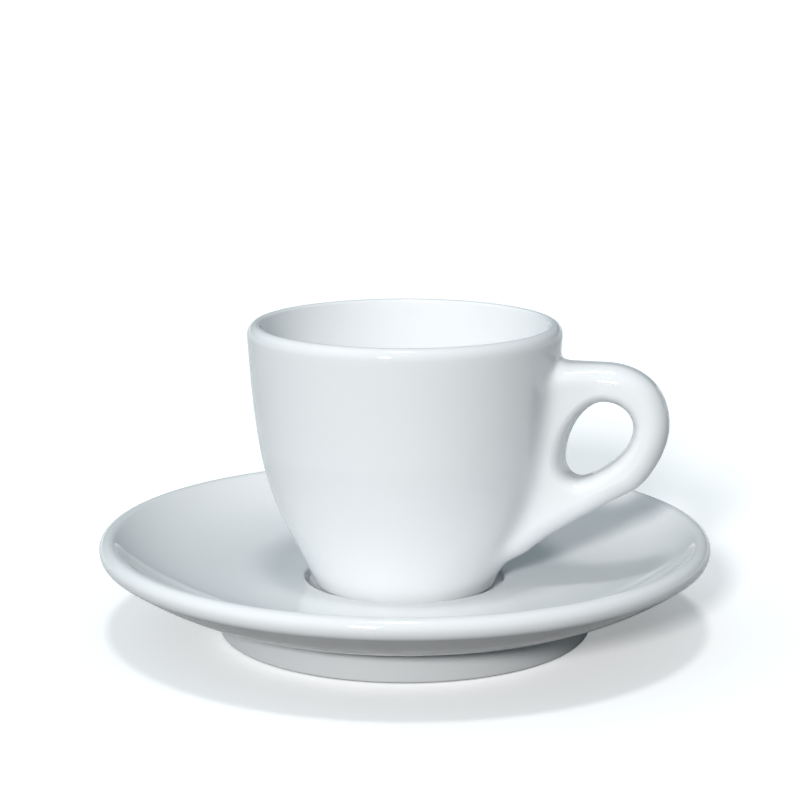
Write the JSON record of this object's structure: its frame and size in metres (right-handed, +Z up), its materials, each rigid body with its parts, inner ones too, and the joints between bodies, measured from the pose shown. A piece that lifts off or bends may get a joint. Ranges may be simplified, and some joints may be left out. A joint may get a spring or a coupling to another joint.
{
  "type": "espresso cup and saucer",
  "caption": "Thick-walled tulip-shaped espresso cup with a pierced ear handle, standing in the shallow well of a round, upturned saucer on a foot ring, in glazed white porcelain.",
  "frame": {"origin": "middle of the saucer's foot ring, in the plane of the table that it stands on", "axes": "+Z up along the common axis of the cup and the saucer, +X towards the handle"},
  "size_m": [0.12, 0.12, 0.0611],
  "materials": {
    "cup_glaze": "glossy clear glaze on white porcelain",
    "handle_glaze": "glossy clear glaze on white porcelain",
    "saucer_glaze": "glossy clear glaze on white porcelain, foot ring unglazed where it stands"
  },
  "bodies": {
    "saucer": {"saucer": "saucer_glaze"},
    "cup": {"cup_body": "cup_glaze", "cup_handle": "handle_glaze"}
  },
  "joints": [
    {"name": "cup_lift", "type": "slide", "parent": "saucer", "child": "cup", "axis": [0, 0, 1], "range_m": [0, 0.08]}
  ]
}
